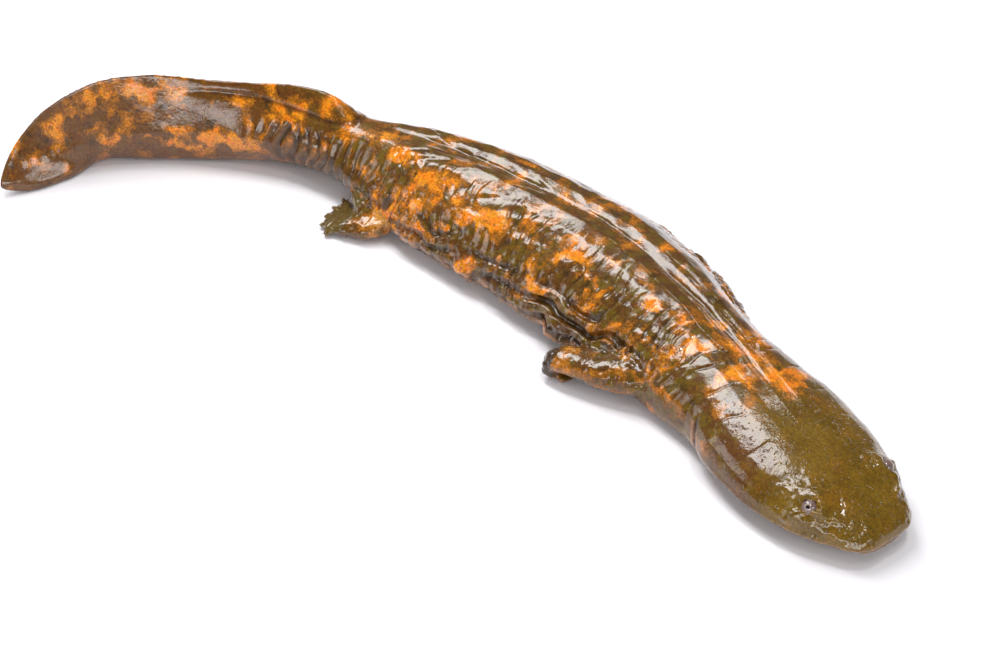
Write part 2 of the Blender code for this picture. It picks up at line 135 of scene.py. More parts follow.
def creases(position, spacing, width):
    """Narrow grooves, one for each spacing, as numbers from 0 to 1."""
    turns = position / spacing
    from_middle = np.abs(turns - np.floor(turns) - 0.5) * spacing
    return bell(from_middle, 0, width)


FAR_CORNER = 512.0         # moves every point into cells of positive number


def lattice(cells, seed):
    """A fixed number from -1 to 1 for each whole-numbered cell."""
    mixed = seed * 2654435
    for axis, factor in enumerate((73856093, 19349663, 83492791)):
        mixed = mixed ^ (cells[:, axis] * factor)
    mixed = (mixed ^ (mixed >> 13)) * 1274126177 & 0x7FFFFFFF
    return ((mixed ^ (mixed >> 16)) & 0xFFFF) / 32767.5 - 1


def noise_at(points, scale, seed=0):
    """Smooth noise from about -1 to 1 at each point, its lumps about one scale (mm) apart."""
    spots = points / scale + FAR_CORNER
    cells = np.floor(spots).astype(np.int64)
    t = spots - cells
    t = t * t * (3 - 2 * t)
    total = np.zeros(len(points))
    for corner in range(8):
        step = np.array([corner & 1, corner >> 1 & 1, corner >> 2 & 1])
        share = np.prod(np.where(step, t, 1 - t), axis=1)
        total += share * lattice(cells + step, seed)
    return total * 1.4


# ---------------------------------------------------------------- body coordinates

def trace_spine():
    """Places under the back, one for each millimetre behind the snout, and the way each faces."""
    xs = [row[0] for row in HEADINGS]
    ys = [row[1] for row in HEADINGS]
    angles = np.radians(np.interp(np.arange(LENGTH + 1), xs, ys))
    steps = np.stack([np.cos(angles), np.sin(angles)], 1)
    places = np.array(SNOUT) - np.vstack([[0, 0], np.cumsum(steps[:-1], 0)])
    return places, angles


SPINE, FACING = trace_spine()


def body_coordinates(points):
    """For each point (mm): distance behind the snout, distance to the right, and height."""
    tree = KDTree(len(SPINE))
    for i, place in enumerate(SPINE):
        tree.insert((place[0], place[1], 0), i)
    tree.balance()
    nearest = np.array([tree.find((p[0], p[1], 0))[1] for p in points])
    offset = points[:, :2] - SPINE[nearest]
    facing = FACING[nearest]
    along = nearest - (offset[:, 0] * np.cos(facing) + offset[:, 1] * np.sin(facing))
    right = offset[:, 0] * np.sin(facing) - offset[:, 1] * np.cos(facing)
    return along, right, points[:, 2]


# ---------------------------------------------------------------- the skin's mesh

def swollen_copy(node):
    """A copy of a length of the animal, welded, and swollen to meet its neighbours."""
    bm = bmesh.new()
    bm.from_mesh(node.data)
    bmesh.ops.remove_doubles(bm, verts=bm.verts, dist=WELD)
    bm.normal_update()
    amount = WEB_SWELL if node.name.startswith("hind_foot") else SWELL
    for vert in bm.verts:
        vert.co += vert.normal * amount
    return bm


def even_out(mesh, share, rounds):
    """Smooth the mesh where the share is one, without drawing it in."""
    edges = np.empty(len(mesh.edges) * 2, np.int32)
    mesh.edges.foreach_get("vertices", edges)
    edges = edges.reshape(-1, 2)
    edges = edges[share[edges].max(1) > 0]
    ends = np.concatenate([edges[:, 0], edges[:, 1]])
    others = np.concatenate([edges[:, 1], edges[:, 0]])
    count = np.maximum(np.bincount(ends, minlength=len(mesh.vertices)), 1)
    points = coordinates(mesh)
    for i in range(rounds * 2):
        total = np.stack([np.bincount(ends, points[others, axis], len(points))
                          for axis in range(3)], 1)
        points += (SMOOTHING[i % 2] * share)[:, None] * (total / count[:, None] - points)
    set_coordinates(mesh, points)


def merged_skin():
    """One closed skin round every length of flesh."""
    whole = bmesh.new()
    for name in FLESH:
        piece = swollen_copy(nodes[name])
        part = bpy.data.meshes.new(name)
        piece.to_mesh(part)
        piece.free()
        whole.from_mesh(part)
        bpy.data.meshes.remove(part)
    mesh = bpy.data.meshes.new("skin")
    whole.to_mesh(mesh)
    whole.free()
    skin = link(bpy.data.objects.new("skin", mesh))
    apply_modifier(skin, "REMESH", mode="VOXEL", voxel_size=VOXEL)
    apply_modifier(skin, "SMOOTH", factor=0.5, iterations=5)
    along, _, height = body_coordinates(coordinates(skin.data) / MM)
    even_out(skin.data, ramp(along, 276, 292) * ramp(height, 1, 3), TAIL_ROUNDS)
    web = share_of(coordinates(skin.data) / MM, "hind_foot")[:, None]
    points = coordinates(skin.data) - normals(skin.data) * (SWELL + (WEB_SWELL - SWELL) * web)
    set_coordinates(skin.data, points)
    return skin


# ---------------------------------------------------------------- folds and wrinkles

# Half the body's width at each distance behind the snout, mm
HALF_WIDTH = (
    (0, 10), (25, 24), (62, 29), (80, 26.5), (118, 27), (145, 30), (180, 32), (225, 31), (255, 28),
    (278, 22), (290, 18.5), (312, 14), (345, 11), (400, 7.5), (430, 5.5), (448, 4), (459, 2.6),
)
EYE_RADIUS = 2.9
EYE_OPENING = 64                    # half angle of the round opening in the skin, degrees
EYE_REACH = 9                       # only skin this near the eye's middle is shaped about it, mm
GAZE = (0.32, 0.66, 0.68)           # the way each eye looks: ahead, aside, up
NOSTRIL_PLACE = (3.2, 8.6, 9.6)     # along, aside and height of each nostril, mm
MOUTH_HEIGHT = 6.2
HEAD_END = 60                       # mm behind the snout
LIMBS = ("upper", "fore", "hand", "hind")

# Where each form starts, is full, fades and ends, mm behind the snout
MOUTH = (-5, 0, 55, 62)
SNOUT_ROUGHNESS = (2, 6, 26, 36)
EYE_RIDGE = (9, 13, 25, 30)
CROWN = (14, 26, 58, 78)
BACK_GROOVE = (52, 84, 262, 292)
SIDE_LINE = (60, 90, 140, 170)
BACK_STREAKS = (165, 200, 262, 290)
FLANK_CREASES = (84, 104, 262, 280)
SHOULDER = (90, 112, 255, 280)
HEAVY_FOLDS = (108, 122, 160, 186)
LIGHT_FOLDS = (160, 180, 262, 282)
FRILL = (150, 170, 262, 280)
TAIL_ROOT = (262, 278, 318, 352)
FIN_LEDGE = (286, 304, 352, 384)
FIN_RAYS = (330, 350, 440, 455)
BACK_LUMPS = (70, 100, 260, 290)
LOW_FLANK = (84, 104, 250, 290)
DARK_BACK = (110, 130, 250, 280)
PALE_FRILL = (120, 150, 260, 275)
# Where the pale line along the back's groove, partly painted highlight, runs and is strongest
BACK_LINE = (60, 80, 250, 280)
STRONGER_LINE_AND_HIGHLIGHT = (55, 70, 110, 130)

# How far apart the rolls and creases are, mm
FLANK_SPACING = 5.2
FINE_SPACING = 3.1
TAIL_SPACING = 5.4
LOOSE_SPACING = 6.2
FRILL_SPACING = 10.5
LIMB_SPACING = 4.2
RAY_SPACING = 4.6

# Creases of the neck: along, slant, from and to how far aside (mm), and depth
NECK_CREASES = (
    (49, 0.10, 13, 21, 0.26), (64, 0.28, 13, 22, 0.22), (78, 0.22, 9, 27, 0.28),
    (89, 0.30, 10, 28, 0.45), (95, 0.20, 6, 20, 0.35),
)


def half_width(along):
    xs, ys = zip(*HALF_WIDTH)
    return np.interp(along, xs, ys)


def outward(along, right):
    """How far out on the body each point is: nothing at the midline, one at the edge."""
    return np.abs(right) / half_width(along)


def back_wander(points):
    """How far the groove along the back strays from the midline, mm."""
    return 0.8 * noise_at(points, 24, 9) + 0.25 * noise_at(points, 6, 10)


def throat_position(along, height):
    """Distance behind the snout, slanted as the fold of the throat is."""
    return along - 0.35 * (height - 8)


def eye_middle(side):
    """The middle of one eye (mm), and the way it looks."""
    points = coordinates(nodes["eye_" + side].data) / MM
    aside = 1 if side == "right" else -1
    facing = math.radians(HEADINGS[1][1])
    ahead = np.array([math.cos(facing), math.sin(facing), 0])
    right = np.array([math.sin(facing), -math.cos(facing), 0])
    gaze = GAZE[0] * ahead + GAZE[1] * aside * right + np.array([0, 0, GAZE[2]])
    return (points.min(0) + points.max(0)) / 2, gaze / np.linalg.norm(gaze)


def open_eyes(points):
    """Open the skin in a round rim about each eye, and heap it over the eye's upper side."""
    for side in ("right", "left"):
        middle, gaze = eye_middle(side)
        offset = points - middle
        distance = np.linalg.norm(offset, axis=1)
        near = distance < EYE_REACH
        away = distance[near]
        angle = np.degrees(np.arccos(np.clip(offset[near] @ gaze / np.maximum(away, 1e-6), -1, 1)))
        outside = ramp(angle, EYE_OPENING - 5, EYE_OPENING + 5)
        covered = np.maximum(away, EYE_RADIUS + 0.55)
        wanted = (EYE_RADIUS - 0.6) * (1 - outside) + covered * outside
        share = (1 - ramp(away, 4.2, 6.0)) * (1 - ramp(angle, 112, 125))
        upward = np.clip(offset[near, 2] / np.maximum(away, 1e-6), 0, 1)
        heap = 0.7 * bell(angle, EYE_OPENING + 24, 15) * upward * (1 - ramp(away, 5, 7.5))
        points[near] += offset[near] / away[:, None] * (share * (wanted - away) + heap)[:, None]
    return points


def flank_wrinkles(points, along, right, height):
    """Creases across the body, from the shoulders down each side."""
    beside = outward(along, right)
    far_side = 0.25 * (right < 0)
    warped = along + 2.2 * noise_at(points, 11, 1) + 0.9 * noise_at(points, 4, 2)
    warped = warped + 0.14 * np.abs(right)
    side = ramp(beside - far_side, 0.22, 0.55) * ramp(height, 2, 8)
    body = window(along, *FLANK_CREASES) * (0.55 + 0.45 * noise_at(points, 16, 3))
    fine = ramp(noise_at(points, 13, 21), -0.1, 0.5)
    depth = 0.72 * creases(warped, FLANK_SPACING, 0.75)
    depth = depth + 0.28 * fine * creases(warped + 1.7, FINE_SPACING, 0.5)
    shoulder = 0.34 * bell(beside, 0.48, 0.13) * window(along, *SHOULDER)
    return -depth * side * body + shoulder * ramp(height, 12, 18)


def tail_wrinkles(points, along, right, height):
    """Strong upright creases round the tail's root, fading towards its tip."""
    warped = along + 1.8 * noise_at(points, 9, 4) + 0.30 * (height - 20)
    below_fin = ramp(height, 2, 7) * (1 - ramp(height, 24, 28))
    where = window(along, *TAIL_ROOT) * below_fin * ramp(outward(along, right), 0.15, 0.4)
    rolls = 0.55 * wave(warped, TAIL_SPACING) - 0.7 * creases(warped, TAIL_SPACING, 0.9)
    return where * rolls * (0.75 + 0.35 * noise_at(points, 12, 5))


def loose_folds(points, along, right, height):
    """Thick rolls of loose skin low on each flank, heaviest above the arm."""
    wander = 2.9 * noise_at(points, 19, 6) + 1.3 * noise_at(points, 7, 7)
    level = height + 0.10 * (along - 140) + wander
    heavy = window(along, *HEAVY_FOLDS)
    light = window(along, *LIGHT_FOLDS)
    low = window(height, 3, 6, 17, 23) * ramp(outward(along, right), 0.55, 0.8)
    roll = wave(level, LOOSE_SPACING)
    cut = creases(level + 1.6, LOOSE_SPACING, 0.9)
    return low * (heavy * (1.9 * roll - 1.4 * cut) + light * (0.8 * roll - 0.7 * cut))


def frill_scallops(points, along, right, height):
    """The frill's edge, drawn up into scallops."""
    level = bell(height, 9.5, 3.2) * ramp(outward(along, right), 0.75, 0.95)
    where = window(along, *FRILL)
    scallop = np.abs(np.sin(np.pi * (along + 2.5 * noise_at(points, 14, 8)) / FRILL_SPACING))
    return level * where * (1.1 * scallop - 0.7)


def back_lines(points, along, right, height):
    """The groove along the back, with a finer line beside it and slanting streaks behind."""
    top = ramp(height, 15, 20)
    where = window(along, *BACK_GROOVE)
    wander = back_wander(points)
    broken = ramp(noise_at(points, 17, 20), -0.5, 0.3)
    groove = 0.40 * bell(right, -1.4 + wander, 0.7) - 0.18 * bell(right, -0.2 + wander, 0.7)
    beyond = 0.22 * bell(right, -5.6 + 1.3 * wander, 0.6) * window(along, *SIDE_LINE)
    slant = 0.42 * along - np.abs(right)
    streaks = noise_at(np.stack([slant, along * 0.12, along * 0], 1), 1.9, 26)
    streaks *= window(along, *BACK_STREAKS) * window(np.abs(right), 1.5, 3.5, 15, 21)
    return -top * (where * (groove + beyond) * (0.35 + 0.65 * broken) + 0.20 * streaks)


def neck_creases(points, along, right, height):
    """A few separate creases across the neck and the back of the head."""
    depth = np.zeros(len(points))
    aside = np.abs(right)
    wander = 1.1 * noise_at(points, 5, 11)
    for at, slant, near, far, deep in NECK_CREASES:
        line = along - at - slant * (aside - 15) - wander
        depth += deep * bell(line, 0, 0.5) * window(aside, near - 3, near, far - 2, far + 2)
    return -depth * ramp(height, 9, 13)


def head_details(points, along, right, height):
    """Crown, rough snout, ridge below the eye, nostrils, mouth and fold of the throat."""
    aside = np.abs(right)
    crown = 0.9 * bell(aside, 3, 9) * window(along, *CROWN) * ramp(height, 10, 15)
    rough = 0.16 * noise_at(points, 2.1, 22) + 0.10 * noise_at(points, 1.2, 23)
    rough *= window(along, *SNOUT_ROUGHNESS)
    nostril = np.sqrt((along - NOSTRIL_PLACE[0]) ** 2 + (aside - NOSTRIL_PLACE[1]) ** 2
                      + (height - NOSTRIL_PLACE[2]) ** 2)
    below_eye = (aside - 23.7 + 0.80 * (26 - along)) * 0.8
    ridge = (0.75 + 0.5 * noise_at(points, 2.6, 25)) * bell(below_eye, 0, 1.15)
    ridge *= window(along, *EYE_RIDGE) * ramp(height, 9, 12)
    lift = crown + rough * window(aside, 3, 7, 20, 25) + 1.5 * ridge
    lift += 0.25 * bell(nostril, 1.5, 0.8) - 0.75 * bell(nostril, 0, 0.6)
    mouth = window(along, *MOUTH) * ramp(aside + (20 - along) * (along < 20), 6, 9)
    lift -= 0.75 * bell(height, MOUTH_HEIGHT, 0.6) * mouth
    lift += 0.45 * bell(height, MOUTH_HEIGHT + 1.7, 1.0) * mouth
    folded = 0.9 * bell(throat_position(along, height), 72, 1.3)
    folded = folded * ramp(aside, 20, 24) * (1 - ramp(height, 14, 18))
    return lift - folded


def fin_details(points, along, right, height):
    """The ledge where the fin leaves the tail's flesh, and faint upright rays."""
    ledge = 30.5 + 2.5 * ramp(along, 300, 345) + 0.6 * noise_at(points, 22, 12)
    rays = 0.07 * wave(along + 1.5 * noise_at(points, 8, 13), RAY_SPACING)
    low = window(height, 8, 13, 16, 22)
    cut = 0.55 * bell(height, ledge, 1.3) * window(along, *FIN_LEDGE)
    return rays * window(along, *FIN_RAYS) * low - cut


def fine_grain(points, along, right, height):
    """Small lumps all over, and pits on the sides of the head."""
    beside = outward(along, right)
    flank = ramp(beside, 0.35, 0.7) * (1 - 0.8 * ramp(along, 300, 340))
    low = ramp(beside, 0.62, 0.82) * window(along, *LOW_FLANK)
    body = (0.03 + 0.05 * flank + 0.15 * low) * noise_at(points, 3.0, 14)
    body += (0.01 + 0.04 * flank + 0.08 * low) * noise_at(points, 1.5, 15)
    head = 1 - ramp(along, 60, 90)
    pits = ramp(noise_at(points, 1.7, 16), 0.55, 0.85)
    pits = pits * ramp(np.abs(right), 6, 12) * ramp(-along, -42, -26)
    slow = 0.30 * noise_at(points, 14, 17) * ramp(along, 40, 90) * (1 - ramp(along, 380, 420))
    slow += 0.22 * noise_at(points, 5.5, 24) * window(along, *BACK_LUMPS) * (1 - flank)
    return body * (1 - 0.4 * head) - 0.20 * pits * head + slow


def share_of(points, *prefixes):
    """How far each point belongs to the lengths so named, from 0 to 1."""
    tree = KDTree(sum(len(nodes[name].data.vertices) for name in FLESH))
    for name in FLESH:
        for vert in nodes[name].data.vertices:
            tree.insert(vert.co / MM, int(name.startswith(prefixes)))
    tree.balance()
    share = np.empty(len(points))
    for i, place in enumerate(points):
        found = tree.find_n(place, 3)
        share[i] = sum(item[1] for item in found) / 3
    return share


def detail_skin(skin):
    """Fold and wrinkle the skin, thin its mesh to the limit and shade it smooth."""
    mesh = skin.data
    points = coordinates(mesh) / MM
    along, right, height = body_coordinates(points)
    limb = share_of(points, *LIMBS)
    off_limb = 1 - limb
    lift = np.zeros(len(points))
    for form in (flank_wrinkles, tail_wrinkles, loose_folds, frill_scallops, back_lines,
                 neck_creases, head_details, fin_details):
        lift += form(points, along, right, height) * off_limb
    # From this the material paints shade into the grooves and a highlight onto the raised crests;
    # on the head it sees the grooves alone
    store(mesh, "fold", np.where(along < HEAD_END, np.minimum(lift, 0), lift))
    lift += fine_grain(points, along, right, height)
    across_limb = creases(along + 2 * noise_at(points, 6, 19), LIMB_SPACING, 0.6)
    lift += limb * (0.28 * noise_at(points, 4.5, 18) - 0.22 * across_limb)
    # The flats that it rests on stay as they are, and nothing goes below the floor
    lift *= ramp(height, 0.15, 2.2)
    moved = points + normals(mesh) * lift[:, None]
    moved = open_eyes(moved)
    moved[:, 2] = np.maximum(moved[:, 2], 0.0)
    set_coordinates(mesh, moved * MM)
    faces = len(mesh.polygons) * 2
    apply_modifier(skin, "TRIANGULATE")
    if faces > SKIN_TRIANGLES:
        apply_modifier(skin, "DECIMATE", ratio=SKIN_TRIANGLES / faces)
    only(skin)
    bpy.ops.object.shade_smooth()


# ---------------------------------------------------------------- markings

TAIL_START = 290           # patches further back than this, mm,
TAIL_TIGHTNESS = 1.25      # are drawn tighter by this factor

# Orange patches: along, right and height of the middle, reach along and across (mm), strength.
# A distance to the right below zero lies on the left side.
PATCHES = (
    (362, 4, 33, 4, 6, 1.2), (376, 3, 34, 4, 4, 0.8), (328, 6, 31, 9, 3.5, 0.9),
    (340, 5, 32, 4, 4, 0.8), (394, 3, 31, 10, 5, 1.1), (408, 3, 30, 6, 6, 0.9),
    (388, 5, 27, 6, 5, 0.9), (430, 3, 22, 6, 6, 1.0), (386, 8, 18, 7, 6, 1.0),
    (376, 9, 17, 4, 5, 0.9), (372, 9, 12, 5, 5, 1.0), (361, 9, 13, 4, 7, 1.0),
    (350, 9, 11, 5, 5, 1.1), (347, 6, 28, 4, 4, 0.8), (424, 7, 8, 6, 4, 0.8),
    (440, 7, 8, 4, 4, 0.7), (323, 7, 28, 3, 6, 1.2), (313, 9, 28, 3, 4, 0.9),
    (303, 7, 31, 5, 3, 1.0), (337, 10, 16, 3, 7, 0.8), (327, 11, 14, 2.5, 6, 0.8),
    (299, 15, 14, 6, 3, 1.0), (309, 11, 11, 8, 3, 0.9), (290, 17, 9, 5, 5, 1.2),
    (280, 17, 24, 3.5, 10, 1.4), (268, 11, 31, 6, 4, 1.0), (256, 24, 23, 5, 6, 0.9),
    (245, 21, 27, 6, 7, 1.2), (232, 24, 26, 5, 6, 0.9), (224, 28, 23, 4, 5, 0.9),
    (212, 22, 29, 7, 6, 1.3), (199, 33, 18, 5, 5, 1.1), (184, 30, 23, 5, 5, 1.1),
    (197, 8, 34, 5, 6, 0.9), (174, 19, 30, 10, 4, 1.1), (158, 6, 33, 9, 4, 0.6),
    (152, 29, 22, 6, 4, 0.8), (123, 13, 30, 7, 6, 1.3), (108, 8, 28, 9, 4, 1.0),
    (139, -22, 20, 10, 7, 0.9), (114, -14, 24, 8, 7, 1.0), (79, 3, 27, 9, 8, 1.4),
    (68, -9, 25, 10, 8, 1.3), (88, -8, 26, 8, 7, 1.0), (56, -19, 22, 9, 6, 0.8),
    (106, 30, 15, 5, 6, 1.2), (135, 35, 13, 9, 4, 1.0), (128, 27, 21, 5, 4, 0.7),
    (118, 24, 20, 4, 5, 0.9), (90, 25, 12, 4, 6, 0.5), (177, 38, 14, 5, 4, 0.8),
    (218, 34, 17, 6, 5, 0.8), (208, 36, 11, 5, 4, 1.0), (229, 34, 14, 5, 5, 0.8),
    (189, 37, 12, 5, 4, 0.9), (163, 38, 11, 5, 4, 0.9), (248, 30, 14, 6, 4, 0.8),
    (262, 27, 14, 4, 6, 0.8), (146, 36, 12, 8, 4, 1.1), (168, 37, 9, 6, 3, 1.0),
    (133, 48, 12, 5, 4, 0.7), (120, 43, 12, 5, 4, 0.6), (264, 30, 8, 4, 5, 1.1),
    (284, 27, 5, 3, 5, 0.8), (205, -20, 29, 9, 6, 1.0), (178, -26, 26, 8, 6, 0.9),
    (160, -30, 18, 7, 6, 0.9), (232, -24, 26, 8, 6, 1.0), (255, -22, 24, 6, 6, 0.9),
    (226, -34, 12, 8, 5, 0.8), (272, -16, 26, 5, 6, 0.9), (300, -10, 26, 6, 5, 0.9),
    (330, -9, 20, 8, 6, 0.9), (355, -6, 28, 7, 5, 1.0), (384, -6, 16, 8, 6, 1.0),
    (408, -4, 26, 7, 5, 0.9), (430, -3, 16, 6, 5, 0.9), (190, -35, 12, 7, 4, 0.8),
    (128, -28, 12, 6, 5, 0.8),
)


def orange_field(points):
    """How strongly each point of the skin tends to orange."""
    field = np.zeros(len(points))
    for at, right, height, reach, breadth, strength in PATCHES:
        angle = FACING[at]
        aside = np.array([math.sin(angle), -math.cos(angle), 0])
        ahead = np.array([math.cos(angle), math.sin(angle), 0])
        offset = points - (np.append(SPINE[at], 0) + aside * right + np.array([0, 0, height]))
        run = offset @ ahead
        across = np.sqrt((offset @ aside) ** 2 + offset[:, 2] ** 2)
        spread = (run / reach) ** 2 + (across / breadth) ** 2
        if at > TAIL_START:
            spread = spread * TAIL_TIGHTNESS
        field = np.maximum(field, strength * np.exp(-spread))
    return field


def patchiness(points):
    """The patches with their edges broken up, and fainter mottling between them."""
    shifted = points.copy()
    for axis in range(3):
        shifted[:, axis] += (3.4 * noise_at(points, 9, 40 + axis)
                             + 1.7 * noise_at(points, 3.6, 43 + axis))
    mottling = 0.16 * noise_at(points, 11, 50) + 0.50 * noise_at(points, 5.4, 51)
    mottling += 0.26 * noise_at(points, 2.5, 52)
    mottling -= 0.90 * ramp(noise_at(shifted, 6.0, 53), 0.20, 0.56)
    along, right, _ = body_coordinates(points)
    mottling += 0.42 * noise_at(shifted, 4.4, 54) * ramp(along, 275, 315)
    back = bell(right / half_width(along), 0.1, 0.34) * window(along, *DARK_BACK)
    side_of_neck = 0.34 * bell(along, 82, 22) * window(right, 12, 17, 34, 40)
    plainer = 0.20 * back + side_of_neck
    return 0.66 * np.minimum(orange_field(shifted), 1.0) + mottling + 0.14 - plainer


def mark_skin(skin):
    """Store what the skin's material reads, for each point."""
    mesh = skin.data
    points = coordinates(mesh) / MM
    along, right, height = body_coordinates(points)
    facing_down = np.clip(-normals(mesh)[:, 2], 0, 1)
    limb = share_of(points, *LIMBS)
    aside = np.abs(right)
    reach = along + 8 * noise_at(points, 10, 30) + 4 * noise_at(points, 4, 31)
    head = (1 - ramp(reach, 46, 82)) * (1 - limb)
    mouth = window(along, *MOUTH) * bell(height, MOUTH_HEIGHT + 0.5, 1.0)
    mouth = mouth * ramp(aside + 8 - along, 4, 8)
    throat = bell(throat_position(along, height), 73.5, 1.0)
    throat = throat * ramp(aside, 19, 23) * (1 - ramp(height, 13, 16))
    frill = bell(height, 8.5, 1.6) * ramp(outward(along, right), 0.85, 1.0)
    frill = frill * window(along, *PALE_FRILL)
    # A pale line along the back's groove: partly its own paler skin, partly a painted highlight of
    # the light its far wall catches
    line = 0.15 + 0.45 * window(along, *STRONGER_LINE_AND_HIGHLIGHT)
    line = line * bell(right, -0.2 + back_wander(points), 0.5)
    line *= window(along, *BACK_LINE) * ramp(height, 15, 20)
    store(mesh, "along", along)
    store(mesh, "aside", right)
    store(mesh, "above", height)
    store(mesh, "orange", patchiness(points))
    store(mesh, "head", head)
    store(mesh, "limb", limb)
    store(mesh, "foot", share_of(points, "hand", "hind_foot"))
    under = np.clip(facing_down * 1.3, 0, 1) * (1 - ramp(height, 9, 16))
    store(mesh, "under", under * (1 - 0.6 * head))
    # The rim holds the pale mouth, throat and frill, and the line along the back with its painted
    # highlight
    store(mesh, "rim", np.clip(mouth + throat + 0.7 * frill + line, 0, 1) * (1 - limb))


skin = merged_skin()
detail_skin(skin)
mark_skin(skin)


# ---------------------------------------------------------------- materials

def new_material(name):
    material = bpy.data.materials.new(name)
    material.use_nodes = True
    return material, material.node_tree.nodes["Principled BSDF"]


class Nodes:
    """Short names for the nodes that the materials are made of."""

    def __init__(self, tree):
        self.tree = tree

    def add(self, kind, inputs=None, **settings):
        node = self.tree.nodes.new(kind)
        for key, value in settings.items():
            setattr(node, key, value)
        for key, value in (inputs or {}).items():
            self.put(value, node.inputs[key])
        return node

    def put(self, value, socket):
        if hasattr(value, "links"):
            self.tree.links.new(value, socket)
        else:
            socket.default_value = value

    def read(self, name):
        return self.add("ShaderNodeAttribute", attribute_name=name).outputs["Fac"]

    def math(self, operation, a, b):
        return self.add("ShaderNodeMath", {0: a, 1: b}, operation=operation).outputs[0]

    def times(self, a, b):
        return self.math("MULTIPLY", a, b)

    def plus(self, a, b):
        return self.math("ADD", a, b)

    def minus(self, a, b):
        return self.math("SUBTRACT", a, b)

    def about_zero(self, noise, amount):
        """Noise round nothing instead of round a half, times an amount."""
        return self.times(self.minus(noise, 0.5), amount)

    def step(self, value, low, high, to_low=0.0, to_high=1.0):
        """A smooth step of a value."""
        inputs = {"Value": value, "From Min": low, "From Max": high,
                  "To Min": to_low, "To Max": to_high}
        step = self.add("ShaderNodeMapRange", inputs, interpolation_type="SMOOTHSTEP")
        return step.outputs["Result"]

    def mix(self, share, a, b, blend="MIX"):
        node = self.add("ShaderNodeMix", data_type="RGBA", blend_type=blend)
        self.put(share, node.inputs[0])
        self.put(a, node.inputs[6])
        self.put(b, node.inputs[7])
        return node.outputs[2]

    def grain(self, place, size_mm, detail=3.0, rough=0.6, offset=0.0):
        """Smooth noise from 0 to 1, with lumps about the given size."""
        shift = (offset, offset * 0.7, offset * 1.3)
        moved = self.add("ShaderNodeVectorMath", {0: place, 1: shift}, operation="ADD").outputs[0]
        inputs = {"Vector": moved, "Scale": 1000.0 / size_mm, "Detail": detail, "Roughness": rough}
        return self.add("ShaderNodeTexNoise", inputs).outputs["Fac"]


# Skin colours, as the light they give back
DARK_OLIVE = (0.133, 0.078, 0.003, 1)
DARK_BROWN = (0.110, 0.041, 0.004, 1)
DEEP_BROWN = (0.044, 0.021, 0.003, 1)
TAIL_BROWN = (0.150, 0.046, 0.006, 1)
HEAD_OLIVE = (0.129, 0.069, 0.002, 1)
HEAD_BROWN = (0.106, 0.038, 0.004, 1)
HEAD_YELLOW = (0.167, 0.092, 0.005, 1)
RUST = (0.300, 0.103, 0.004, 1)
ORANGE = (0.784, 0.199, 0.003, 1)
YELLOW_ORANGE = (0.690, 0.247, 0.007, 1)
# The hands' own brown, darkened further with painted shade for the shadow under the forearm
HAND_BROWN_AND_PAINTED_SHADE = (0.045, 0.025, 0.012, 1)
LIMB_YELLOW = (0.484, 0.237, 0.042, 1)
FOOT_OLIVE = (0.116, 0.073, 0.013, 1)
# The pale rims of mouth, throat and frill, also used as painted highlight on the fold crests
PALE_RIM_AND_PAINTED_HIGHLIGHT = (0.46, 0.25, 0.16, 1)
# The greyish pink of the underside, also used as a painted sheen low on the tail
UNDERSIDE_GREY_AND_PAINTED_SHEEN = (0.190, 0.101, 0.063, 1)
# Painted shade for the grooves and creases
CREASE_PAINTED_SHADE = (0.030, 0.012, 0.003, 1)


